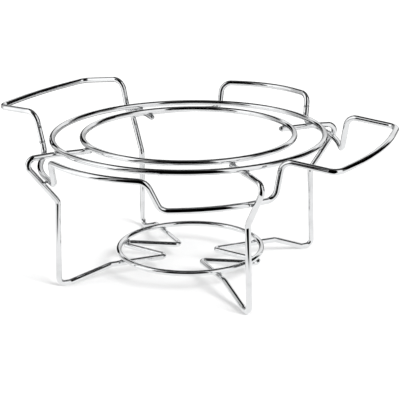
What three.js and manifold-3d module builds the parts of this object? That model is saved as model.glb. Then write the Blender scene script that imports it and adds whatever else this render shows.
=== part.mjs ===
// A chromed wire stand that holds a round dish over a small burner.
// Lengths are in millimetres and angles in degrees. +Z is up and the right handle points along +X.
// The origin lies on the table, under the middle of the whole stand.
import * as THREE from "three";
import { mergeVertices } from "three/addons/utils/BufferGeometryUtils.js";
import Module from "manifold-3d";

const wasm = await Module();
wasm.setup();

// Wire, the same for every piece
const wireDiameter = 4;
const touchGap = 0.3; // left between pieces that are welded together
const wireSides = 8;
const bendStep = 22; // largest turn from one section of a bend to the next
const bendStretch = 18; // largest distance between those sections

// Rings
const dishHeight = 101.3; // top of the two rings that carry the dish
const outerRingRadius = 95;
const innerRingRadius = 74;
const burnerHeight = 16.6; // top of the ring that carries the burner
const burnerRingRadius = 51.5;
const ringSides = { outer: 72, inner: 60, burner: 48 };

// Legs: each of the two leg wires makes two of them
const legSpread = 88.5; // angle between the two legs of one wire
const armOverrun = 2; // the arm's end, past the inner ring's centre line
const elbowReach = 24.8; // the elbow, out from the outer ring's centre line
const elbowDrop = 1.2; // the elbow, below the arm's level part
const kneeDrop = 31.6; // the knee, below the elbow
const kneeReach = 1.1; // the knee, out from the outer ring's centre line
const footReach = 3.3; // the foot, out from the outer ring's centre line
const footFlat = 2.5; // length that lies flat on the table
const liftLead = 1.2; // from there to the corner where the wire starts to rise
const liftReach = { front: 8.5, back: 16.5 }; // from the burner ring out to the end of the rising part
const apexRadius = 17.3;
const legBends = { brow: 8, elbow: 5, knee: 7, foot: 4.5, lift: 6, level: 8, apex: 2.8, fold: 3.6 };

// Fence: two wires, joined end to end, that make the handles, the side loops and the low runs
// between these, which are welded to the legs
const seatRise = 20.8; // low runs above the knees, at the middle of the stand
const fenceLean = 4.2; // the fence rises towards the back
const fenceShift = { x: -0.7, y: 5.5 };
const lowRun = { reach: 11.3, bow: 4.8, bend: 7.5 }; // reach counts from the outer ring
const handle = { rootReach: 15.1, lowHalf: 28.6, tipHalf: 19.7 };
const handleBends = { root: 8, tip: 7.4 };
const sideLoop = { rootReach: 17.9, rootHalf: 19.6 };
const rightHandle = { angle: -8.7, rise: 26, tipDrop: 2.6, bow: 5.4, rootHalf: 26.6, reach: 33.5, rootTilt: 0, tipTilt: 0 };
// The left handle is tilted, with its front end higher.
const leftHandle = { angle: 168.9, rise: 30.1, tipDrop: 3.2, bow: 3, rootHalf: 27.4, reach: 32, rootTilt: 1.1, tipTilt: 3.05 };
const frontLoop = { angle: -100.6, rise: 21.5, bow: 6.4, rootBend: 6.5, lowTurn: -2, lowHalf: 25 };
const backLoop = { angle: 80.1, rise: 19.2, bow: 8, rootBend: 8, lowTurn: -0.8, lowHalf: 21.2 };
const rightJointShare = 0.55; // how far up the back loop's first upright the two wires meet
const leftJointShare = 0.3; // how far up the left handle's last upright they meet
const bowShare = 0.7; // the part of half a bar or run that is curved
const seatSearch = 15; // how far a low run may lie from its place against the leg
const seatStep = 0.05; // the steps in which it is pushed there

// Weld beads
const beadRadius = 2.7;
const beadHalfHeight = 1.7;
const beadSides = { round: 10, down: 6 };

// Sizes that follow from those above
const wireRadius = wireDiameter / 2;
const cornerRadius = wireRadius / Math.cos(Math.PI / wireSides);
const flatSpacing = wireDiameter + touchGap; // between two wires that face each other with flats
const freeSpacing = 2 * cornerRadius + touchGap; // between two wires turned any way
const dishRingLevel = dishHeight - wireRadius;
const armLevel = dishRingLevel - flatSpacing;
const burnerRingLevel = burnerHeight - wireRadius;
const zigzagLevel = burnerRingLevel - flatSpacing;
const elbowRadius = outerRingRadius + elbowReach;
const elbowLevel = armLevel - elbowDrop;
const kneeRadius = outerRingRadius + kneeReach;
const kneeLevel = elbowLevel - kneeDrop;
const footRadius = outerRingRadius + footReach;
const fenceLevel = kneeLevel + seatRise;
const lowRadius = outerRingRadius + lowRun.reach;
const handleRadius = outerRingRadius + handle.rootReach;
const sideLoopRadius = outerRingRadius + sideLoop.rootReach;
const halfTurn = 180;
const legAngles = {
  front_right: -legSpread / 2,
  back_right: legSpread / 2,
  back_left: halfTurn - legSpread / 2,
  front_left: halfTurn + legSpread / 2,
};

const chrome = new THREE.MeshStandardMaterial({ color: 0xd8dadc, roughness: 0.12, metalness: 1 });
const weldMetal = new THREE.MeshStandardMaterial({ color: 0xa9abad, roughness: 0.35, metalness: 1 });

const radians = THREE.MathUtils.degToRad;

function polar(radius, angle, level) {
  return new THREE.Vector3(radius * Math.cos(radians(angle)), radius * Math.sin(radians(angle)), level);
}

// A wire's centre line, given as the places and directions of its cross-sections.
// Sections stand only at bends and ends, so the straight runs between them stay single faces.
class BentWire extends THREE.Curve {
  constructor(sections) {
    super();
    this.sections = sections;
  }

  // Steps count sections, not millimetres of wire.
  getUtoTmapping(u) {
    return u;
  }

  locate(t) {
    const place = t * (this.sections.length - 1);
    const index = Math.min(Math.floor(place + 1e-6), this.sections.length - 2);
    return { from: this.sections[index], to: this.sections[index + 1], share: place - index };
  }

  getPoint(t, target = new THREE.Vector3()) {
    const { from, to, share } = this.locate(t);
    return target.lerpVectors(from.point, to.point, share);
  }

  getTangent(t, target = new THREE.Vector3()) {
    const { from, to, share } = this.locate(t);
    return target.lerpVectors(from.tangent, to.tangent, share).normalize();
  }
}

// Turns a list of sharp corners, each with its bend radius, into the sections of a bent wire.
function bendWire(corners) {
  const first = corners[0].point;
  const last = corners[corners.length - 1].point;
  const sections = [{ point: first, tangent: corners[1].point.clone().sub(first).normalize() }];
  for (let i = 1; i < corners.length - 1; i++) {
    const corner = corners[i].point;
    const into = corner.clone().sub(corners[i - 1].point).normalize();
    const out = corners[i + 1].point.clone().sub(corner).normalize();
    const turn = into.angleTo(out);
    const trim = corners[i].bend * Math.tan(turn / 2);
    const start = corner.clone().addScaledVector(into, -trim);
    const axis = into.clone().cross(out).normalize();
    const centre = start.clone().addScaledVector(axis.clone().cross(into), corners[i].bend);
    const stretch = turn * corners[i].bend;
    const steps = Math.max(1, Math.ceil(turn / radians(bendStep)), Math.ceil(stretch / bendStretch));
    for (let step = 0; step <= steps; step++) {
      const angle = (turn * step) / steps;
      const point = start.clone().sub(centre).applyAxisAngle(axis, angle).add(centre);
      sections.push({ point, tangent: into.clone().applyAxisAngle(axis, angle) });
    }
  }
  const finish = last.clone().sub(corners[corners.length - 2].point).normalize();
  sections.push({ point: last, tangent: finish });
  return sections;
}

// The wire's cross-section, with its flats at the top, bottom and sides.
function wireOutline(radius) {
  const points = [];
  for (let i = 0; i < wireSides; i++) {
    const angle = ((i + 0.5) * 2 * Math.PI) / wireSides;
    const reach = radius / Math.cos(Math.PI / wireSides);
    points.push(new THREE.Vector2(reach * Math.cos(angle), reach * Math.sin(angle)));
  }
  return points;
}

// A bent wire, grown by so much all round and at its ends.
function wireGeometry(corners, growth) {
  const sections = bendWire(corners);
  sections[0].point = sections[0].point.clone().addScaledVector(sections[0].tangent, -growth);
  sections.at(-1).point = sections.at(-1).point.clone().addScaledVector(sections.at(-1).tangent, growth);
  return new THREE.ExtrudeGeometry(new THREE.Shape(wireOutline(wireRadius + growth)), {
    steps: sections.length - 1,
    extrudePath: new BentWire(sections),
  });
}

function ringGeometry(ringRadius, level, sides, growth) {
  const outline = wireOutline(wireRadius + growth);
  const profile = outline.map((point) => new THREE.Vector2(point.x + ringRadius, point.y));
  profile.push(profile[0].clone());
  return new THREE.LatheGeometry(profile, sides).rotateX(Math.PI / 2).translate(0, 0, level);
}

// Half of a leg wire, from the arm's end to the fold under the burner ring.
function halfLegCorners(corner) {
  const leg = (radius, level, bend) => ({ point: polar(radius, legAngles[corner], level), bend });
  const liftEnd = burnerRingRadius + (corner.startsWith("front") ? liftReach.front : liftReach.back);
  return [
    leg(innerRingRadius - armOverrun, armLevel, 0),
    leg(outerRingRadius + wireDiameter, armLevel, legBends.brow),
    leg(elbowRadius, elbowLevel, legBends.elbow),
    leg(kneeRadius, kneeLevel, legBends.knee),
    leg(footRadius, wireRadius, legBends.foot),
    leg(footRadius - legBends.foot - footFlat - liftLead, wireRadius, legBends.lift),
    leg(liftEnd, zigzagLevel, legBends.level),
    leg(apexRadius, zigzagLevel, legBends.apex),
  ];
}

// The fold's corner lies where the two runs from the apexes would meet.
// Its bend then reaches out to the burner ring's centre line.
function foldCorner(side) {
  const apex = polar(apexRadius, legSpread / 2, zigzagLevel);
  const bendCentre = burnerRingRadius - legBends.fold;
  const along = bendCentre - apex.x;
  const slope = Math.atan2(apex.y, along) - Math.asin(legBends.fold / Math.hypot(apex.y, along));
  const reach = apex.x + apex.y / Math.tan(slope);
  return { point: polar(reach, side === "right" ? 0 : halfTurn, zigzagLevel), bend: legBends.fold };
}

function legWireCorners(side) {
  return [...halfLegCorners(`back_${side}`), foldCorner(side), ...halfLegCorners(`front_${side}`).reverse()];
}

// A point of the fence. Heights count from the low runs, and the whole fence leans and is shifted.
function fencePoint(radius, angle, height) {
  const slope = Math.tan(radians(fenceLean));
  const point = polar(radius, angle, fenceLevel + height);
  point.x += fenceShift.x;
  point.y += fenceShift.y;
  point.z += slope * point.y;
  point.y -= slope * height;
  return point;
}

// The corner between a bar's two straight ends, which makes the bar bow outwards.
function bowCorner(start, end, bow) {
  const middle = start.clone().lerp(end, 0.5);
  const outward = new THREE.Vector3(middle.x, middle.y, 0).normalize();
  const point = middle.clone().addScaledVector(outward, 2 * bow);
  const halfLength = point.distanceTo(start);
  const halfBend = Math.PI / 2 - end.clone().sub(point).angleTo(start.clone().sub(point)) / 2;
  return { point, bend: (halfLength * bowShare) / Math.tan(halfBend) };
}

// A handle's end corners lie higher or lower than its middle where the handle is tilted.
function handleCorners({ angle, rise, tipDrop, bow, rootHalf, reach, rootTilt, tipTilt }) {
  const corner = (radius, side, half, height, tilt) => {
    const climb = side * radius * Math.sin(radians(half)) * Math.tan(radians(tilt));
    return fencePoint(radius, angle + side * half, height + climb);
  };
  const tipRadius = handleRadius + reach;
  const tips = [-1, 1].map((side) => corner(tipRadius, side, handle.tipHalf, rise - tipDrop, tipTilt));
  const roots = [-1, 1].map((side) => corner(handleRadius, side, rootHalf, rise, rootTilt));
  return {
    low: [-1, 1].map((side) => fencePoint(lowRadius, angle + side * handle.lowHalf, 0)),
    high: [
      { point: roots[0], bend: handleBends.root },
      { point: tips[0], bend: handleBends.tip },
      bowCorner(tips[0], tips[1], bow),
      { point: tips[1], bend: handleBends.tip },
      { point: roots[1], bend: handleBends.root },
    ],
  };
}

function sideLoopCorners({ angle, rise, bow, rootBend, lowTurn, lowHalf }) {
  const roots = [-1, 1].map((side) => fencePoint(sideLoopRadius, angle + side * sideLoop.rootHalf, rise));
  return {
    low: [-1, 1].map((side) => fencePoint(lowRadius, angle + lowTurn + side * lowHalf, 0)),
    high: [
      { point: roots[0], bend: rootBend },
      bowCorner(roots[0], roots[1], bow),
      { point: roots[1], bend: rootBend },
    ],
  };
}

// The straight stretches between the sections of a bent wire.
function stretches(corners) {
  const sections = bendWire(corners);
  return sections.slice(1).map((section, i) => new THREE.Line3(sections[i].point, section.point));
}

// Where a low run and the leg that it crosses are nearest to each other, on their centre lines.
function nearestToLeg([start, end], corner) {
  const run = stretches([{ point: start }, bowCorner(start, end, lowRun.bow), { point: end }]);
  const leg = stretches(halfLegCorners(corner));
  let nearest = { distance: Infinity };
  for (const legStretch of leg) {
    for (const runStretch of run) {
      const onLeg = new THREE.Vector3();
      const onRun = new THREE.Vector3();
      const distance = Math.sqrt(legStretch.distanceSqToLine3(runStretch, onLeg, onRun));
      if (distance < nearest.distance) {
        nearest = { distance, onLeg, onRun };
      }
    }
  }
  return nearest;
}

// Pushes a low run outwards, along the fence's leaning plane, until it touches the leg's inner side.
function seatOnLeg(run, corner) {
  const push = polar(seatStep, legAngles[corner], 0);
  push.z = Math.tan(radians(fenceLean)) * push.y;
  run.forEach((point) => point.addScaledVector(push, -seatSearch / seatStep));
  for (let moved = 0; moved < 2 * seatSearch; moved += seatStep) {
    if (nearestToLeg(run, corner).distance <= freeSpacing + seatStep) {
      return;
    }
    run.forEach((point) => point.add(push));
  }
}

// The ends of the two fence wires where they meet on an upright.
function buttJoint(low, high, share) {
  const upward = high.clone().sub(low).normalize();
  const meeting = low.clone().lerp(high, share);
  return {
    above: { point: meeting.clone().addScaledVector(upward, touchGap / 2) },
    below: { point: meeting.clone().addScaledVector(upward, -touchGap / 2) },
  };
}

function runCorners([start, end]) {
  const bend = lowRun.bend;
  return [{ point: start, bend }, bowCorner(start, end, lowRun.bow), { point: end, bend }];
}

// The corners of the two fence wires, anticlockwise, and the ends of the four low runs.
function fenceWires() {
  const back = sideLoopCorners(backLoop);
  const left = handleCorners(leftHandle);
  const front = sideLoopCorners(frontLoop);
  const right = handleCorners(rightHandle);
  const runs = {
    back_left: [back.low[1], left.low[0]],
    front_left: [left.low[1], front.low[0]],
    front_right: [front.low[1], right.low[0]],
    back_right: [right.low[1], back.low[0]],
  };
  for (const corner in runs) {
    seatOnLeg(runs[corner], corner);
  }
  const rightJoint = buttJoint(back.low[0], back.high[0].point, rightJointShare);
  const leftJoint = buttJoint(left.low[1], left.high.at(-1).point, leftJointShare);
  const backWire = [
    rightJoint.above,
    ...back.high,
    ...runCorners(runs.back_left),
    ...left.high,
    leftJoint.above,
  ];
  const frontWire = [
    leftJoint.below,
    ...runCorners(runs.front_left),
    ...front.high,
    ...runCorners(runs.front_right),
    ...right.high,
    ...runCorners(runs.back_right),
    rightJoint.below,
  ];
  return { backWire, frontWire, runs };
}

function toSolid(geometry) {
  const bare = geometry.clone();
  bare.deleteAttribute("normal");
  bare.deleteAttribute("uv");
  const merged = mergeVertices(bare);
  return new wasm.Manifold(
    new wasm.Mesh({
      numProp: 3,
      vertProperties: new Float32Array(merged.attributes.position.array),
      triVerts: new Uint32Array(merged.index.array),
    }),
  );
}

function toGeometry(solid) {
  const mesh = solid.getMesh();
  const geometry = new THREE.BufferGeometry();
  geometry.setAttribute("position", new THREE.BufferAttribute(mesh.vertProperties, mesh.numProp));
  geometry.setIndex(new THREE.BufferAttribute(mesh.triVerts, 1));
  geometry.computeVertexNormals();
  return geometry;
}

const stand = new THREE.Group();
const clearance = {}; // each wire's solid, grown by the gap that a weld bead keeps from it

// Adds a wire. build(growth) makes its geometry, grown by so much all round.
function addWire(name, build) {
  const mesh = new THREE.Mesh(build(0), chrome.clone());
  mesh.name = name;
  stand.add(mesh);
  clearance[name] = toSolid(build(touchGap));
}

// Adds the bead round the place where two wires touch. facing points from one wire to the other.
function addWeld(name, place, facing, wires) {
  const bead = new THREE.SphereGeometry(1, beadSides.round, beadSides.down).rotateX(Math.PI / 2);
  bead.scale(beadRadius, beadRadius, beadHalfHeight);
  bead.applyQuaternion(new THREE.Quaternion().setFromUnitVectors(new THREE.Vector3(0, 0, 1), facing));
  bead.translate(place.x, place.y, place.z);
  const cut = wires.reduce((solid, wire) => solid.subtract(clearance[wire]), toSolid(bead));
  const pieces = cut.decompose().sort((a, b) => b.volume() - a.volume());
  const mesh = new THREE.Mesh(toGeometry(pieces[0]), weldMetal.clone());
  mesh.name = name;
  stand.add(mesh);
}

addWire("outer_ring", (growth) => ringGeometry(outerRingRadius, dishRingLevel, ringSides.outer, growth));
addWire("inner_ring", (growth) => ringGeometry(innerRingRadius, dishRingLevel, ringSides.inner, growth));
addWire("burner_ring", (growth) => ringGeometry(burnerRingRadius, burnerRingLevel, ringSides.burner, growth));
addWire("right_leg_wire", (growth) => wireGeometry(legWireCorners("right"), growth));
addWire("left_leg_wire", (growth) => wireGeometry(legWireCorners("left"), growth));
const fence = fenceWires();
addWire("back_fence_wire", (growth) => wireGeometry(fence.backWire, growth));
addWire("front_fence_wire", (growth) => wireGeometry(fence.frontWire, growth));

const up = new THREE.Vector3(0, 0, 1);
const dishWeldLevel = (dishRingLevel + armLevel) / 2;
const burnerWeldLevel = (burnerRingLevel + zigzagLevel) / 2;
const ringWelds = {
  outer_ring: { radius: outerRingRadius, level: dishWeldLevel },
  inner_ring: { radius: innerRingRadius, level: dishWeldLevel },
  burner_ring: { radius: burnerRingRadius, level: burnerWeldLevel },
};
for (const [corner, angle] of Object.entries(legAngles)) {
  const legWire = corner.endsWith("right") ? "right_leg_wire" : "left_leg_wire";
  for (const [ring, { radius, level }] of Object.entries(ringWelds)) {
    addWeld(`weld_${ring}_${corner}`, polar(radius, angle, level), up, [ring, legWire]);
  }
  const { onLeg, onRun } = nearestToLeg(fence.runs[corner], corner);
  const facing = onLeg.clone().sub(onRun).normalize();
  const fenceWire = corner === "back_left" ? "back_fence_wire" : "front_fence_wire";
  addWeld(`weld_fence_${corner}`, onLeg.lerp(onRun, 0.5), facing, [fenceWire, legWire]);
}
for (const [side, angle] of [["right", 0], ["left", halfTurn]]) {
  const place = polar(burnerRingRadius, angle, burnerWeldLevel);
  addWeld(`weld_burner_ring_${side}`, place, up, ["burner_ring", `${side}_leg_wire`]);
}

// Stands the feet on the table, with the origin under the middle of the stand.
const extent = new THREE.Box3().setFromObject(stand, true);
const middle = extent.getCenter(new THREE.Vector3());
stand.position.set(-middle.x, -middle.y, -extent.min.z);

export default stand;
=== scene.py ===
from math import asin, atan2, ceil, cos, hypot, inf, pi, radians, sin, sqrt, tan

import bmesh
import bpy
from mathutils import Matrix, Quaternion, Vector, noise


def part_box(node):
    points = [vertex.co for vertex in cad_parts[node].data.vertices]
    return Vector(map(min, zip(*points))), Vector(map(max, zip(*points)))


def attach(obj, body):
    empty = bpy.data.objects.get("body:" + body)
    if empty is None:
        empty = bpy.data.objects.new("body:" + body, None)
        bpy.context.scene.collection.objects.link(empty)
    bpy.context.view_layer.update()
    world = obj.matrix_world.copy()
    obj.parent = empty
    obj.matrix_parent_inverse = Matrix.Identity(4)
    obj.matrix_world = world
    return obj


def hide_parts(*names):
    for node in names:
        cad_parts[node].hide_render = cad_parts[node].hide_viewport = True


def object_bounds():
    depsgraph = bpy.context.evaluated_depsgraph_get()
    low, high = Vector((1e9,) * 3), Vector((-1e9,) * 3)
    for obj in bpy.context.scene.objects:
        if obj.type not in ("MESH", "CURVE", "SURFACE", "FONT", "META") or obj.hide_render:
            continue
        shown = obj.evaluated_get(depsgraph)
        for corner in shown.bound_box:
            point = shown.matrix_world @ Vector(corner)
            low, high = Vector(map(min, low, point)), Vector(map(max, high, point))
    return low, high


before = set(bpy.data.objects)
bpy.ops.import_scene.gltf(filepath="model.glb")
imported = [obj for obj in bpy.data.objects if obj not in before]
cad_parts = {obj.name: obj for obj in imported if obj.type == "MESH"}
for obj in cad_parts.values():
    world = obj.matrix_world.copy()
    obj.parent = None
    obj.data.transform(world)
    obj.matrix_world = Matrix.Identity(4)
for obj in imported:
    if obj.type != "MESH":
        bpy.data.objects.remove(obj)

# Lengths are in millimetres and angles in degrees unless a name says otherwise.
# They repeat the CAD model's, so that each smooth wire lies where its solid is.
millimetre = 0.001
tiny = 1e-9
cadLow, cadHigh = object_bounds()

wire = {
    "diameter": 4,
    "gap": 0.3,
    "cadSides": 8,
    "sides": 24,
    "bendStep": 4,
    "endRounding": 0.45,
    "endSteps": 5,
}
rings = {
    "outer_ring": {"radius": 95, "top": 101.3, "steps": 240},
    "inner_ring": {"radius": 74, "top": 101.3, "steps": 200},
    "burner_ring": {"radius": 51.5, "top": 16.6, "steps": 160},
}
legs = {
    "spread": 88.5,
    "armOverrun": 2,
    "elbowReach": 24.8,
    "elbowDrop": 1.2,
    "kneeDrop": 31.6,
    "kneeReach": 1.1,
    "footReach": 3.3,
    "footFlat": 2.5,
    "liftLead": 1.2,
    "liftReach": {"front": 8.5, "back": 16.5},
    "apexRadius": 17.3,
    "bends": {
        "brow": 8, "elbow": 5, "knee": 7, "foot": 4.5,
        "lift": 6, "level": 8, "apex": 2.8, "fold": 3.6,
    },
}
fence = {
    "seatRise": 20.8,
    "lean": 4.2,
    "shift": (-0.7, 5.5),
    "lowRun": {"reach": 11.3, "bow": 4.8, "bend": 7.5},
    "handle": {"rootReach": 15.1, "lowHalf": 28.6, "tipHalf": 19.7},
    "handleBends": {"root": 8, "tip": 7.4},
    "sideLoop": {"rootReach": 17.9, "rootHalf": 19.6},
    "right": {
        "angle": -8.7, "rise": 26, "tipDrop": 2.6, "bow": 5.4,
        "rootHalf": 26.6, "reach": 33.5, "rootTilt": 0, "tipTilt": 0,
    },
    "left": {
        "angle": 168.9, "rise": 30.1, "tipDrop": 3.2, "bow": 3,
        "rootHalf": 27.4, "reach": 32, "rootTilt": 1.1, "tipTilt": 3.05,
    },
    "front": {"angle": -100.6, "rise": 21.5, "bow": 6.4, "rootBend": 6.5, "lowTurn": -2, "lowHalf": 25},
    "back": {"angle": 80.1, "rise": 19.2, "bow": 8, "rootBend": 8, "lowTurn": -0.8, "lowHalf": 21.2},
    "rightJointShare": 0.55,
    "leftJointShare": 0.3,
    "bowShare": 0.7,
    "seatSearch": 15,
    "seatStep": 0.05,
}

ringLow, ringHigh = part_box("outer_ring")
standAxis = Vector(((ringLow.x + ringHigh.x) / 2, (ringLow.y + ringHigh.y) / 2, 0))

wireRadius = wire["diameter"] / 2
cornerRadius = wireRadius / cos(pi / wire["cadSides"])
flatSpacing = wire["diameter"] + wire["gap"]
freeSpacing = 2 * cornerRadius + wire["gap"]
outerRadius = rings["outer_ring"]["radius"]
innerRadius = rings["inner_ring"]["radius"]
burnerRadius = rings["burner_ring"]["radius"]
dishRingLevel = rings["outer_ring"]["top"] - wireRadius
armLevel = dishRingLevel - flatSpacing
burnerRingLevel = rings["burner_ring"]["top"] - wireRadius
zigzagLevel = burnerRingLevel - flatSpacing
elbowLevel = armLevel - legs["elbowDrop"]
kneeLevel = elbowLevel - legs["kneeDrop"]
footRadius = outerRadius + legs["footReach"]
fenceLevel = kneeLevel + fence["seatRise"]
lowRadius = outerRadius + fence["lowRun"]["reach"]
legAngles = {
    "front_right": -legs["spread"] / 2,
    "back_right": legs["spread"] / 2,
    "back_left": 180 - legs["spread"] / 2,
    "front_left": 180 + legs["spread"] / 2,
}


def clamp(share):
    return min(1, max(0, share))


def polar(radius, angle, level):
    return Vector((radius * cos(radians(angle)), radius * sin(radians(angle)), level))


def toFrame(point):
    return point * millimetre + standAxis


# Turns sharp corners, each with its bend radius, into points and directions along the wire.
def bendWire(corners):
    points = [corner[0] for corner in corners]
    sections = [(points[0], (points[1] - points[0]).normalized())]
    for i in range(1, len(corners) - 1):
        corner, bend = corners[i]
        into = (corner - points[i - 1]).normalized()
        out = (points[i + 1] - corner).normalized()
        turn = into.angle(out)
        start = corner - into * bend * tan(turn / 2)
        axis = into.cross(out).normalized()
        centre = start + axis.cross(into) * bend
        steps = max(2, ceil(turn / radians(wire["bendStep"])))
        for step in range(steps + 1):
            turned = Quaternion(axis, turn * step / steps)
            sections.append((centre + turned @ (start - centre), turned @ into))
    sections.append((points[-1], (points[-1] - points[-2]).normalized()))
    return sections


def halfLegCorners(corner):
    angle, bends = legAngles[corner], legs["bends"]
    liftStart = footRadius - bends["foot"] - legs["footFlat"] - legs["liftLead"]
    liftEnd = burnerRadius + legs["liftReach"]["front" if corner.startswith("front") else "back"]
    return [
        (polar(innerRadius - legs["armOverrun"], angle, armLevel), 0),
        (polar(outerRadius + wire["diameter"], angle, armLevel), bends["brow"]),
        (polar(outerRadius + legs["elbowReach"], angle, elbowLevel), bends["elbow"]),
        (polar(outerRadius + legs["kneeReach"], angle, kneeLevel), bends["knee"]),
        (polar(footRadius, angle, wireRadius), bends["foot"]),
        (polar(liftStart, angle, wireRadius), bends["lift"]),
        (polar(liftEnd, angle, zigzagLevel), bends["level"]),
        (polar(legs["apexRadius"], angle, zigzagLevel), bends["apex"]),
    ]


def foldCorner(side):
    fold = legs["bends"]["fold"]
    apex = polar(legs["apexRadius"], legs["spread"] / 2, zigzagLevel)
    along = burnerRadius - fold - apex.x
    slope = atan2(apex.y, along) - asin(fold / hypot(apex.y, along))
    return (polar(apex.x + apex.y / tan(slope), 0 if side == "right" else 180, zigzagLevel), fold)


def legWireCorners(side):
    return [*halfLegCorners(f"back_{side}"), foldCorner(side), *reversed(halfLegCorners(f"front_{side}"))]


def fencePoint(radius, angle, height):
    slope = tan(radians(fence["lean"]))
    point = polar(radius, angle, fenceLevel + height) + Vector((*fence["shift"], 0))
    point.z += slope * point.y
    point.y -= slope * height
    return point


def bowCorner(start, end, bow):
    middle = (start + end) / 2
    outward = Vector((middle.x, middle.y, 0)).normalized()
    point = middle + outward * 2 * bow
    halfLength = (point - start).length
    halfBend = pi / 2 - (end - point).angle(start - point) / 2
    return (point, halfLength * fence["bowShare"] / tan(halfBend))


def handleCorners(side):
    handle, bends = fence["handle"], fence["handleBends"]
    rootRadius = outerRadius + handle["rootReach"]
    tipRadius = rootRadius + side["reach"]
    tipRise = side["rise"] - side["tipDrop"]

    def corner(radius, way, half, height, tilt):
        climb = way * radius * sin(radians(half)) * tan(radians(tilt))
        return fencePoint(radius, side["angle"] + way * half, height + climb)

    tips = [corner(tipRadius, way, handle["tipHalf"], tipRise, side["tipTilt"]) for way in (-1, 1)]
    roots = [corner(rootRadius, way, side["rootHalf"], side["rise"], side["rootTilt"]) for way in (-1, 1)]
    low = [fencePoint(lowRadius, side["angle"] + way * handle["lowHalf"], 0) for way in (-1, 1)]
    high = [
        (roots[0], bends["root"]),
        (tips[0], bends["tip"]),
        bowCorner(tips[0], tips[1], side["bow"]),
        (tips[1], bends["tip"]),
        (roots[1], bends["root"]),
    ]
    return low, high


def sideLoopCorners(side):
    loop, bend = fence["sideLoop"], side["rootBend"]
    loopRadius = outerRadius + loop["rootReach"]
    rootAngles = [side["angle"] + way * loop["rootHalf"] for way in (-1, 1)]
    roots = [fencePoint(loopRadius, angle, side["rise"]) for angle in rootAngles]
    lowAngle = side["angle"] + side["lowTurn"]
    low = [fencePoint(lowRadius, lowAngle + way * side["lowHalf"], 0) for way in (-1, 1)]
    return low, [(roots[0], bend), bowCorner(roots[0], roots[1], side["bow"]), (roots[1], bend)]


# The nearest points of two straight stretches.
def nearestOnSegments(firstStart, firstEnd, secondStart, secondEnd):
    first, second, apart = firstEnd - firstStart, secondEnd - secondStart, firstStart - secondStart
    firstSquared, secondSquared, both = first.dot(first), second.dot(second), first.dot(second)
    firstApart, secondApart = first.dot(apart), second.dot(apart)
    spread = firstSquared * secondSquared - both * both
    firstShare = clamp((both * secondApart - firstApart * secondSquared) / spread) if spread > tiny else 0
    secondShare = (both * firstShare + secondApart) / secondSquared
    if not 0 <= secondShare <= 1:
        secondShare = clamp(secondShare)
        firstShare = clamp((both * secondShare - firstApart) / firstSquared)
    return firstStart + first * firstShare, secondStart + second * secondShare


# How near a low run comes to a leg, and the nearest points of both.
def nearestToLeg(run, corner):
    start, end = run
    runCentre = [(start, 0), bowCorner(start, end, fence["lowRun"]["bow"]), (end, 0)]
    runPoints = [p for p, _ in bendWire(runCentre)]
    legPoints = [p for p, _ in bendWire(halfLegCorners(corner)[1:5])]
    best = (inf, None, None)
    for a, b in zip(legPoints, legPoints[1:]):
        for c, d in zip(runPoints, runPoints[1:]):
            onLeg, onRun = nearestOnSegments(a, b, c, d)
            distance = (onLeg - onRun).length
            if distance < best[0]:
                best = (distance, onLeg, onRun)
    return best


# Pushes a low run outwards until it touches the leg's inner side.
def seatOnLeg(run, corner):
    push = polar(fence["seatStep"], legAngles[corner], 0)
    push.z = tan(radians(fence["lean"])) * push.y
    back = fence["seatSearch"] / fence["seatStep"]
    run = [point - push * back for point in run]
    limit = freeSpacing + fence["seatStep"]
    moved = 0
    while moved < 2 * fence["seatSearch"]:
        distance = nearestToLeg(run, corner)[0]
        if distance <= limit:
            break
        steps = max(1, int((distance - limit) / fence["seatStep"]))
        run = [point + push * steps for point in run]
        moved += steps * fence["seatStep"]
    return run


# Where two fence wires meet on an upright, and the way up it.
def buttJoint(low, high, share):
    return low.lerp(high, share), (high - low).normalized()


def runCorners(run):
    bend = fence["lowRun"]["bend"]
    return [(run[0], bend), bowCorner(run[0], run[1], fence["lowRun"]["bow"]), (run[1], bend)]


def fenceWires():
    backLow, backHigh = sideLoopCorners(fence["back"])
    leftLow, leftHigh = handleCorners(fence["left"])
    frontLow, frontHigh = sideLoopCorners(fence["front"])
    rightLow, rightHigh = handleCorners(fence["right"])
    runs = {
        "back_left": [backLow[1], leftLow[0]],
        "front_left": [leftLow[1], frontLow[0]],
        "front_right": [frontLow[1], rightLow[0]],
        "back_right": [rightLow[1], backLow[0]],
    }
    for corner in runs:
        runs[corner] = seatOnLeg(runs[corner], corner)
    rightMeeting, rightUp = buttJoint(runs["back_right"][1], backHigh[0][0], fence["rightJointShare"])
    leftMeeting, leftUp = buttJoint(runs["front_left"][0], leftHigh[-1][0], fence["leftJointShare"])
    half = wire["gap"] / 2
    backWire = [(rightMeeting + rightUp * half, 0), *backHigh, *runCorners(runs["back_left"]), *leftHigh]
    backWire.append((leftMeeting + leftUp * half, 0))
    frontWire = [(leftMeeting - leftUp * half, 0), *runCorners(runs["front_left"]), *frontHigh]
    frontWire += [*runCorners(runs["front_right"]), *rightHigh, *runCorners(runs["back_right"])]
    frontWire.append((rightMeeting - rightUp * half, 0))
    seams = {"fence_seam_right": (rightMeeting, rightUp), "fence_seam_left": (leftMeeting, leftUp)}
    return backWire, frontWire, runs, seams


# Outside its bends, the smooth wire stands up to half a millimetre proud of its coarser solid, so it is
# trimmed to the CAD's box.
def insideBox(place):
    return Vector([max(low, min(high, value)) for value, low, high in zip(place, cadLow, cadHigh)])


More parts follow.
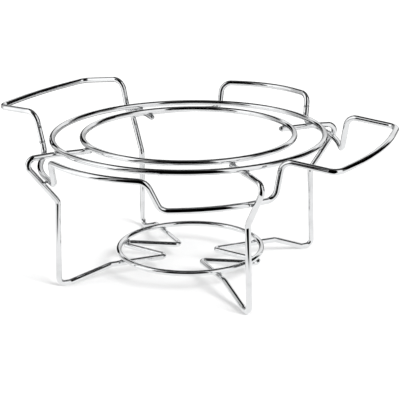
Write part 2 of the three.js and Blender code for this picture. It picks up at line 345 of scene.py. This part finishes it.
# Texture coordinates in millimetres, round the wire and along it. In the strip that closes the round
# they run on past the wire's girth.
def layWireTexture(mesh, textureAt):
    girth = 2 * pi * wireRadius
    layer = mesh.uv_layers.new(name="wireLength")
    for polygon in mesh.polygons:
        corners = [textureAt[mesh.loops[i].vertex_index] for i in polygon.loop_indices]
        places = [around for around, _ in corners]
        wraps = max(places) - min(places) > girth / 2
        for loopIndex, (around, along) in zip(polygon.loop_indices, corners):
            if wraps and around < girth / 2:
                around += girth
            layer.data[loopIndex].uv = (around, along)


def makeMesh(name, vertices, faces, textureAt=None):
    mesh = bpy.data.meshes.new(name)
    mesh.from_pydata([insideBox(toFrame(v)) for v in vertices], [], faces)
    if textureAt:
        layWireTexture(mesh, textureAt)
    mesh.validate()
    mesh.shade_smooth()
    piece = bpy.data.objects.new(name, mesh)
    bpy.context.scene.collection.objects.link(piece)
    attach(piece, "root")
    return piece


# A round bar along the sections, each a point and a direction. It has flat ends or closes on itself.
def tube(name, sections, radii=None, closed=False):
    sides = wire["sides"]
    radii = radii or [wireRadius] * len(sections)
    tangent = sections[0][1]
    normal = tangent.orthogonal().normalized()
    vertices, textureAt, along = [], [], 0
    for i, (point, direction) in enumerate(sections):
        if i:
            along += (point - sections[i - 1][0]).length
            normal = (tangent.rotation_difference(direction) @ normal).normalized()
            normal = (normal - direction * normal.dot(direction)).normalized()
            tangent = direction
        across = direction.cross(normal)
        for side in range(sides):
            angle = 2 * pi * side / sides
            vertices.append(point + (normal * cos(angle) + across * sin(angle)) * radii[i])
            textureAt.append((wireRadius * angle, along))
    count = len(sections)
    faces = []
    for i in range(count if closed else count - 1):
        here, there = i * sides, ((i + 1) % count) * sides
        for side in range(sides):
            turned = (side + 1) % sides
            faces.append((here + side, here + turned, there + turned, there + side))
    if not closed:
        faces.append(tuple(reversed(range(sides))))
        faces.append(tuple(range((count - 1) * sides, count * sides)))
    return makeMesh(name, vertices, faces, textureAt)


# Adds short end sections whose radii make the cut ends' edges round.
def roundedEnds(sections):
    rounding, steps = wire["endRounding"], wire["endSteps"]
    (first, firstWay), (last, lastWay) = sections[0], sections[-1]
    angles = [pi / 2 * step / steps for step in range(1, steps + 1)]
    start = [(first + firstWay * rounding * (1 - cos(a)), firstWay) for a in angles]
    end = [(last - lastWay * rounding * (1 - cos(a)), lastWay) for a in reversed(angles)]
    radii = [wireRadius - rounding * (1 - sin(a)) for a in angles]
    middle = sections[1:-1]
    return start + middle + end, radii + [wireRadius] * len(middle) + radii[::-1]


def ringSections(radius, level, steps):
    turns = [2 * pi * i / steps for i in range(steps)]
    return [
        (Vector((radius * cos(t), radius * sin(t), level)), Vector((-sin(t), cos(t), 0)))
        for t in turns
    ]


print("wires")
wirePieces = []
wirePaths = {}
for name, ring in rings.items():
    sections = ringSections(ring["radius"], ring["top"] - wireRadius, ring["steps"])
    piece = tube(f"smooth_{name}", sections, closed=True)
    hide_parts(name)
    wirePieces.append(piece)
    wirePaths[name] = [p for p, _ in sections] + [sections[0][0]]

backWire, frontWire, runs, seams = fenceWires()
bentWires = {
    "right_leg_wire": legWireCorners("right"),
    "left_leg_wire": legWireCorners("left"),
    "back_fence_wire": backWire,
    "front_fence_wire": frontWire,
}
for name, corners in bentWires.items():
    sections = bendWire(corners)
    wirePaths[name] = [p for p, _ in sections]
    rounded, radii = roundedEnds(sections)
    piece = tube(f"smooth_{name}", rounded, radii)
    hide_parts(name)
    wirePieces.append(piece)


# The straight stretches of a wire's path that pass near a place.
def pathNear(name, place, distance):
    path = wirePaths[name]
    near = []
    for a, b in zip(path, path[1:]):
        way = b - a
        if way.length < tiny:
            continue
        share = clamp((place - a).dot(way) / way.length_squared)
        if (a + way * share - place).length < distance:
            near.append((a, way, way.length_squared))
    return near


# How far a point is from a wire's surface, less than 0 inside it.
def distanceTo(stretches, point):
    best = inf
    for a, way, squared in stretches:
        share = clamp((point - a).dot(way) / squared)
        best = min(best, (a + way * share - point).length_squared)
    return sqrt(best) - wireRadius


weld = {
    "fillet": 1.5,
    "filletChange": 0.7,
    "changeRate": 1.3,
    "changeShift": 0.37,
    "pitDepth": 0.1,
    "pitRate": 4.5,
    "pitShift": 0.61,
    "sink": 0.05,
    "reach": 4.6,
    "halvings": 14,
    "detail": 4,
}


def sphereMesh(detail):
    ball = bmesh.new()
    bmesh.ops.create_icosphere(ball, subdivisions=detail, radius=1)
    directions = [v.co.normalized() for v in ball.verts]
    faces = [tuple(v.index for v in f.verts) for f in ball.faces]
    ball.free()
    return directions, faces


sphereDirections, sphereFaces = sphereMesh(weld["detail"])


# The metal squeezed out where two wires are welded: it fills the corner between them all round.
# Its surface is found by halving, in each direction from the weld's middle.
def weldFillet(name, place, wireNames, node):
    stretches = [pathNear(wireName, place, weld["reach"] + 2 * wireRadius) for wireName in wireNames]
    vertices = []
    for direction in sphereDirections:
        change = noise.noise(direction * weld["changeRate"] + place * weld["changeShift"])
        pits = noise.noise(direction * weld["pitRate"] + place * weld["pitShift"])
        fillet = weld["fillet"] + weld["filletChange"] * change
        sink = weld["sink"] + weld["pitDepth"] * max(0, -pits)
        low, high = 0, weld["reach"]
        for _ in range(weld["halvings"]):
            middle = (low + high) / 2
            first, second = (distanceTo(near, place + direction * middle) for near in stretches)
            overlap = max(fillet - abs(first - second), 0) / fillet
            joined = min(first, second) - overlap * overlap * fillet / 4
            if joined < -sink:
                low = middle
            else:
                high = middle
        vertices.append(place + direction * low)
    piece = makeMesh(name, vertices, sphereFaces)
    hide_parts(node)
    return piece


print("welds")
weldPieces = []
dishWeldLevel = (dishRingLevel + armLevel) / 2
burnerWeldLevel = (burnerRingLevel + zigzagLevel) / 2
for corner, angle in legAngles.items():
    legWire = "right_leg_wire" if corner.endswith("right") else "left_leg_wire"
    fenceWire = "back_fence_wire" if corner == "back_left" else "front_fence_wire"
    _, onLeg, onRun = nearestToLeg(runs[corner], corner)
    places = {
        "outer_ring": (polar(outerRadius, angle, dishWeldLevel), "outer_ring"),
        "inner_ring": (polar(innerRadius, angle, dishWeldLevel), "inner_ring"),
        "burner_ring": (polar(burnerRadius, angle, burnerWeldLevel), "burner_ring"),
        "fence": ((onLeg + onRun) / 2, fenceWire),
    }
    for kind, (place, wireName) in places.items():
        node = f"weld_{kind}_{corner}"
        weldPieces.append(weldFillet(f"fillet_{kind}_{corner}", place, [wireName, legWire], node))
for side, angle in (("right", 0), ("left", 180)):
    place = polar(burnerRadius, angle, burnerWeldLevel)
    names = ["burner_ring", f"{side}_leg_wire"]
    weldPieces.append(weldFillet(f"fillet_burner_ring_{side}", place, names, f"weld_burner_ring_{side}"))


seam = {
    "length": 2.6,
    "rise": 0.16,
    "sink": 0.06,
    "lumps": 0.05,
    "lumpRate": 3,
    "steps": 16,
}


# The low ridge that butt welding leaves round a wire.
def seamCollar(name, place, way):
    steps = seam["steps"]
    sections, radii = [], []
    for i in range(steps + 1):
        share = 2 * i / steps - 1
        sections.append((place + way * share * seam["length"] / 2, way))
        rise = (1 - share * share) ** 2 * (seam["rise"] + seam["sink"])
        lump = seam["lumps"] * noise.noise(place + Vector((0, 0, seam["lumpRate"] * share)))
        radii.append(wireRadius - seam["sink"] + rise * (1 + lump))
    return tube(name, sections, radii)


print("seams")
for name, (place, way) in seams.items():
    piece = seamCollar(name, place, way)
    weldPieces.append(piece)


# An sRGB hex colour as linear red, green, blue and alpha.
def linear(hexColour):
    values = [int(hexColour[i:i + 2], 16) / 255 for i in (1, 3, 5)]
    return tuple(v / 12.92 if v <= 0.04045 else ((v + 0.055) / 1.055) ** 2.4 for v in values) + (1,)


# Inputs are named, with _ for a space, or numbered as in i0. Each takes a value, another node's output,
# or another node, for that node's first output.
def addNode(tree, kind, settings=None, **inputs):
    node = tree.nodes.new(kind)
    for key, value in (settings or {}).items():
        setattr(node, key, value)
    for key, value in inputs.items():
        numbered = key[0] == "i" and key[1:].isdigit()
        socket = node.inputs[int(key[1:]) if numbered else key.replace("_", " ")]
        if isinstance(value, bpy.types.Node):
            value = value.outputs[0]
        if isinstance(value, bpy.types.NodeSocket):
            tree.links.new(value, socket)
        else:
            socket.default_value = value
    return node


# Takes a material's or a world's own nodes away.
def emptyTree(owner):
    owner.use_nodes = True
    owner.node_tree.nodes.clear()
    return owner.node_tree


# Settings that several nodes share.
smoothly = {"interpolation_type": "SMOOTHSTEP"}
multiply = {"operation": "MULTIPLY"}
dotProduct = {"operation": "DOT_PRODUCT"}
white = (1, 1, 1, 1)

# Steel wire, drawn, polished and plated with chrome. To the eye it is a mirror that draws what stands
# round it out into bands along the wire. Shallow waves make the bands uneven, and some patches are duller.
chromeLook = {
    "colours": ("#e8e9ea", "#dcddde"),
    "roughness": (0.01, 0.04),
    "patchSize": 14,
    "patchDetail": 3,
    "patchLimits": (0.42, 0.72),
    "waveSize": 9,
    "waveDetail": 1.5,
    "waveDepth": 0.008,
    # Real drawing lines are too fine to show, so these are coarser.
    "drawLineWidth": 0.22,
    "drawLineLength": 26,
    "drawLineDetail": 2,
    "drawLineDepth": 0.0012,
}
# Steel squeezed out by resistance welding, plated with the wire but not polished. To the eye it is a
# duller, mottled grey with blurred reflections.
weldLook = {
    "colours": ("#d6d7d8", "#8c8d8f"),
    "roughness": (0.12, 0.3),
    "grainSize": 0.8,
    "grainDetail": 4,
    "grainLimits": (0.35, 0.65),
    "grainDepth": 0.08,
}


def newMetal(name):
    material = bpy.data.materials.new(name)
    tree = emptyTree(material)
    shader = addNode(tree, "ShaderNodeBsdfPrincipled", Metallic=1.0)
    addNode(tree, "ShaderNodeOutputMaterial", Surface=shader)
    return material, tree, shader


# Colour and roughness go from the look's first to its second where share goes from 0 to 1.
def finishMetal(tree, shader, look, share, relief):
    first, second = (linear(colour) for colour in look["colours"])
    colour = addNode(tree, "ShaderNodeMix", {"data_type": "RGBA"}, i0=share, i6=first, i7=second)
    smooth, rough = look["roughness"]
    roughness = addNode(tree, "ShaderNodeMapRange", Value=share, i3=smooth, i4=rough)
    tree.links.new(colour.outputs[2], shader.inputs["Base Color"])
    tree.links.new(roughness.outputs[0], shader.inputs["Roughness"])
    tree.links.new(relief.outputs[0], shader.inputs["Normal"])


def chromeMaterial():
    look = chromeLook
    material, tree, shader = newMetal("chromedSteelWire")
    place = addNode(tree, "ShaderNodeTexCoord").outputs["Object"]
    patches = addNode(
        tree, "ShaderNodeTexNoise",
        Vector=place, Scale=1 / (look["patchSize"] * millimetre), Detail=look["patchDetail"],
    )
    bright, duller = look["patchLimits"]
    dull = addNode(tree, "ShaderNodeMapRange", smoothly, Value=patches, i1=bright, i2=duller)
    wireLength = addNode(tree, "ShaderNodeUVMap", {"uv_map": "wireLength"})
    stretch = (1 / look["drawLineWidth"], 1 / look["drawLineLength"], 1)
    stretched = addNode(tree, "ShaderNodeMapping", Vector=wireLength, Scale=stretch)
    lines = addNode(
        tree, "ShaderNodeTexNoise", Vector=stretched, Scale=1.0, Detail=look["drawLineDetail"]
    )
    lined = addNode(
        tree, "ShaderNodeBump", Height=lines, Strength=1.0, Distance=look["drawLineDepth"] * millimetre
    )
    waves = addNode(
        tree, "ShaderNodeTexNoise",
        Vector=place, Scale=1 / (look["waveSize"] * millimetre), Detail=look["waveDetail"],
    )
    waved = addNode(
        tree, "ShaderNodeBump",
        Height=waves, Strength=1.0, Distance=look["waveDepth"] * millimetre, Normal=lined,
    )
    finishMetal(tree, shader, look, dull, waved)
    return material


def weldMaterial():
    look = weldLook
    material, tree, shader = newMetal("platedWeldMetal")
    place = addNode(tree, "ShaderNodeTexCoord").outputs["Object"]
    grain = addNode(
        tree, "ShaderNodeTexNoise",
        Vector=place, Scale=1 / (look["grainSize"] * millimetre), Detail=look["grainDetail"],
    )
    light, darker = look["grainLimits"]
    dark = addNode(tree, "ShaderNodeMapRange", smoothly, Value=grain, i1=light, i2=darker)
    grained = addNode(
        tree, "ShaderNodeBump", Height=grain, Strength=1.0, Distance=look["grainDepth"] * millimetre
    )
    finishMetal(tree, shader, look, dark, grained)
    return material


print("materials")
chrome = chromeMaterial()
weldMetal = weldMaterial()
for piece in wirePieces:
    piece.data.materials.append(chrome)
for piece in weldPieces:
    piece.data.materials.append(weldMetal)
# The solids that the smooth pieces stand for get the same two materials.
for name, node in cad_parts.items():
    node.data.materials.clear()
    node.data.materials.append(weldMetal if name.startswith("weld") else chrome)


studio = {
    "floorRadius": 3000,
    "floorSides": 96,
    "floorColour": "#f2f2f2",
    "ambient": 0.79,
    "backdrop": 1.0,
    "reflectedWhite": 1.0,
    "reflectedTable": 1.0,
    "tableEdge": 0.1,
}
# Azimuth 0 is behind the camera and grows to the camera's right, for the lamps and for the panels.
lamps = {
    "keyLight": {"strength": 2.4, "angle": 28, "azimuth": 48, "elevation": 38},
    "fillLight": {"strength": 0.5, "angle": 40, "azimuth": -78, "elevation": 30},
}
# What the chrome sees round it, as in the photo: white walls and lamps with dark panels between them.
# Where a panel has floorFrom, the white table below it ends that far from the stand's middle.
panels = {
    "leftLamp": {"azimuth": (-98, -58), "elevation": (-14, 58), "level": 1.3, "soft": 3, "floorFrom": 280},
    "leftWall": {"azimuth": (-138, -98), "elevation": (-14, 60), "level": 0.62, "soft": 3},
    "leftDoor": {"azimuth": (-138, -122), "elevation": (16, 44), "level": 0.25, "soft": 2},
    "leftBack": {"azimuth": (-170, -142), "elevation": (-40, 23), "level": 0, "soft": 2, "floorFrom": 135},
    "leftAbove": {"azimuth": (-200, -134), "elevation": (30, 72), "level": 0, "soft": 2},
    "leftHigh": {"azimuth": (-148, -94), "elevation": (60, 82), "level": 0.08, "soft": 3},
    "frontStrip": {"azimuth": (-58, -48), "elevation": (-40, 50), "level": 0, "soft": 1.5, "floorFrom": 200},
    "frontGap": {"azimuth": (-48, -42), "elevation": (-40, 60), "level": 0.35, "soft": 1.5, "floorFrom": 200},
    "front": {"azimuth": (-42, 28), "elevation": (-40, 100), "level": 0, "soft": 1.5, "floorFrom": 200},
    "frontAbove": {"azimuth": (-60, 30), "elevation": (52, 100), "level": 0.03, "soft": 3},
    "rightLamp": {"azimuth": (30, 62), "elevation": (-14, 60), "level": 1.1, "soft": 3},
    "rightDim": {"azimuth": (69, 93), "elevation": (0, 31), "level": 0.2, "soft": 3},
    "rightHigh": {"azimuth": (78, 95), "elevation": (28, 60), "level": 0.06, "soft": 3},
    "rightBack": {"azimuth": (93, 130), "elevation": (-10, 64), "level": 0, "soft": 2, "floorFrom": 480},
    "rightShelf": {"azimuth": (130, 146), "elevation": (26, 64), "level": 0, "soft": 2},
    "rightFar": {"azimuth": (137, 154), "elevation": (-40, 5), "level": 0.04, "soft": 2, "floorFrom": 150},
    "rightAbove": {"azimuth": (115, 160), "elevation": (56, 78), "level": 0.15, "soft": 3},
    "behind": {"azimuth": (142, 200), "elevation": (36, 66), "level": 0, "soft": 2},
    "ceiling": {"azimuth": (-200, 200), "elevation": (55, 120), "level": 0.14, "soft": 3},
}
backdropShade = {"level": 0.4, "fullWithin": 16, "noneBeyond": 44, "floorFrom": 90, "floorFull": 300}

# Found from the three rings and the four legs in the photo.
camera = {
    "position": (300.13, -701.66, 300.32),
    "target": (6.864, 2.857, 50.236),
    "roll": -0.643,
    "lens": 101.18,
    "sensor": 36,
}
viewTarget = toFrame(Vector(camera["target"]))
viewPosition = toFrame(Vector(camera["position"]))
sight = viewTarget - viewPosition
sightAcross = Vector((sight.y, -sight.x, 0)).normalized()
sightAlong = Vector((sight.x, sight.y, 0)).normalized()


# 1 inside two angles, 0 outside them, and smooth over the soft edge.
def between(tree, value, limits, soft):
    first, last = limits
    begun = addNode(
        tree, "ShaderNodeMapRange", smoothly,
        Value=value, i1=radians(first - soft), i2=radians(first + soft),
    )
    unended = addNode(
        tree, "ShaderNodeMapRange", smoothly,
        Value=value, i1=radians(last + soft), i2=radians(last - soft),
    )
    return addNode(tree, "ShaderNodeMath", multiply, i0=begun, i1=unended)


def darkened(tree, brightness, mask, level):
    share = addNode(tree, "ShaderNodeMapRange", Value=mask, i3=1.0, i4=level)
    return addNode(tree, "ShaderNodeMath", multiply, i0=brightness, i1=share)


def azimuthOf(tree, vector):
    across = addNode(tree, "ShaderNodeVectorMath", dotProduct, i0=vector, i1=sightAcross)
    nearer = addNode(tree, "ShaderNodeVectorMath", dotProduct, i0=vector, i1=-sightAlong)
    return addNode(
        tree, "ShaderNodeMath", {"operation": "ARCTAN2"},
        i0=across.outputs["Value"], i1=nearer.outputs["Value"],
    )


# To the camera the surroundings are plain white. The chrome alone sees the panels, and a shade
# round the way that the camera looks, which draws the wires' outlines. The rest gets even light.
def studioWorld():
    world = bpy.data.worlds.new("studio")
    tree = emptyTree(world)
    way = addNode(tree, "ShaderNodeTexCoord").outputs["Generated"]
    azimuth = azimuthOf(tree, way)
    height = addNode(tree, "ShaderNodeSeparateXYZ", Vector=way).outputs["Z"]
    elevation = addNode(tree, "ShaderNodeMath", {"operation": "ARCSINE"}, i0=height)
    brightness = studio["reflectedWhite"]
    for panel in panels.values():
        mask = addNode(
            tree, "ShaderNodeMath", multiply,
            i0=between(tree, azimuth, panel["azimuth"], panel["soft"]),
            i1=between(tree, elevation, panel["elevation"], panel["soft"]),
        )
        brightness = darkened(tree, brightness, mask, panel["level"])
    onward = addNode(tree, "ShaderNodeVectorMath", dotProduct, i0=way, i1=sight.normalized())
    outer, inner = cos(radians(backdropShade["noneBeyond"])), cos(radians(backdropShade["fullWithin"]))
    shade = addNode(
        tree, "ShaderNodeMapRange", smoothly, Value=onward.outputs["Value"], i1=outer, i2=inner
    )
    brightness = darkened(tree, brightness, shade, backdropShade["level"])
    reflected = addNode(tree, "ShaderNodeBackground", Color=white, Strength=brightness)
    ambient = addNode(tree, "ShaderNodeBackground", Color=white, Strength=studio["ambient"])
    backdrop = addNode(tree, "ShaderNodeBackground", Color=white, Strength=studio["backdrop"])
    rays = addNode(tree, "ShaderNodeLightPath").outputs
    unreflected = addNode(
        tree, "ShaderNodeMixShader", i0=rays["Is Camera Ray"], i1=ambient, i2=backdrop
    )
    mixed = addNode(
        tree, "ShaderNodeMixShader", i0=rays["Is Glossy Ray"], i1=unreflected, i2=reflected
    )
    addNode(tree, "ShaderNodeOutputWorld", Surface=mixed)
    bpy.context.scene.world = world


# Matt white with its shadows for the camera. The chrome sees a white table that ends at the dark panels.
def floorMaterial():
    material = bpy.data.materials.new("paleFloor")
    tree = emptyTree(material)
    matt = addNode(tree, "ShaderNodeBsdfDiffuse", Color=linear(studio["floorColour"]))
    position = addNode(tree, "ShaderNodeNewGeometry").outputs["Position"]
    place = addNode(tree, "ShaderNodeVectorMath", {"operation": "SUBTRACT"}, i0=position, i1=standAxis)
    distance = addNode(tree, "ShaderNodeVectorMath", {"operation": "LENGTH"}, i0=place)
    azimuth = azimuthOf(tree, place)
    brightness = studio["reflectedTable"]
    soft = studio["tableEdge"]
    for panel in panels.values():
        if "floorFrom" in panel:
            edge = panel["floorFrom"] * millimetre
            beyond = addNode(
                tree, "ShaderNodeMapRange", smoothly,
                Value=distance.outputs["Value"], i1=edge * (1 - soft), i2=edge * (1 + soft),
            )
            below = between(tree, azimuth, panel["azimuth"], panel["soft"])
            mask = addNode(tree, "ShaderNodeMath", multiply, i0=below, i1=beyond)
            brightness = darkened(tree, brightness, mask, panel["level"])
    behind = addNode(tree, "ShaderNodeVectorMath", dotProduct, i0=place, i1=sightAlong)
    first, full = backdropShade["floorFrom"] * millimetre, backdropShade["floorFull"] * millimetre
    shade = addNode(
        tree, "ShaderNodeMapRange", smoothly, Value=behind.outputs["Value"], i1=first, i2=full
    )
    brightness = darkened(tree, brightness, shade, backdropShade["level"])
    table = addNode(tree, "ShaderNodeEmission", Color=white, Strength=brightness)
    rays = addNode(tree, "ShaderNodeLightPath").outputs
    mixed = addNode(tree, "ShaderNodeMixShader", i0=rays["Is Glossy Ray"], i1=matt, i2=table)
    addNode(tree, "ShaderNodeOutputMaterial", Surface=mixed)
    return material


def makeFloor():
    sides = studio["floorSides"]
    vertices = [polar(studio["floorRadius"], 360 * i / sides, 0) for i in range(sides)]
    mesh = bpy.data.meshes.new("floor")
    mesh.from_pydata([toFrame(v) for v in vertices], [], [tuple(range(sides))])
    floor = bpy.data.objects.new("floor", mesh)
    floor.data.materials.append(floorMaterial())
    bpy.context.scene.collection.objects.link(floor)


# The main lamp stands at the camera's right and throws the shadows to the left and backwards;
# a weak one at the left fills them.
def softLamp(name, values):
    azimuth, elevation = radians(values["azimuth"]), radians(values["elevation"])
    level = sightAcross * sin(azimuth) - sightAlong * cos(azimuth)
    towards = level * cos(elevation) + Vector((0, 0, sin(elevation)))
    lamp = bpy.data.lights.new(name, "SUN")
    lamp.energy = values["strength"]
    lamp.angle = radians(values["angle"])
    holder = bpy.data.objects.new(name, lamp)
    holder.rotation_mode = "QUATERNION"
    holder.rotation_quaternion = (-towards).to_track_quat("-Z", "Y")
    holder.visible_glossy = False
    bpy.context.scene.collection.objects.link(holder)


def makeCamera():
    lens = bpy.data.cameras.new("camera")
    lens.lens = camera["lens"]
    lens.sensor_width = camera["sensor"]
    viewer = bpy.data.objects.new("camera", lens)
    bpy.context.scene.collection.objects.link(viewer)
    viewer.location = viewPosition
    forward = sight.normalized()
    right = forward.cross(Vector((0, 0, 1))).normalized()
    up = right.cross(forward)
    turn = radians(camera["roll"])
    rolledRight = right * cos(turn) + up * sin(turn)
    rolledUp = up * cos(turn) - right * sin(turn)
    viewer.rotation_mode = "QUATERNION"
    viewer.rotation_quaternion = Matrix((rolledRight, rolledUp, -forward)).transposed().to_quaternion()
    bpy.context.scene.camera = viewer


print("studio")
studioWorld()
makeFloor()
for lampName, lampValues in lamps.items():
    softLamp(lampName, lampValues)
makeCamera()
bpy.context.scene.view_settings.view_transform = "Standard"
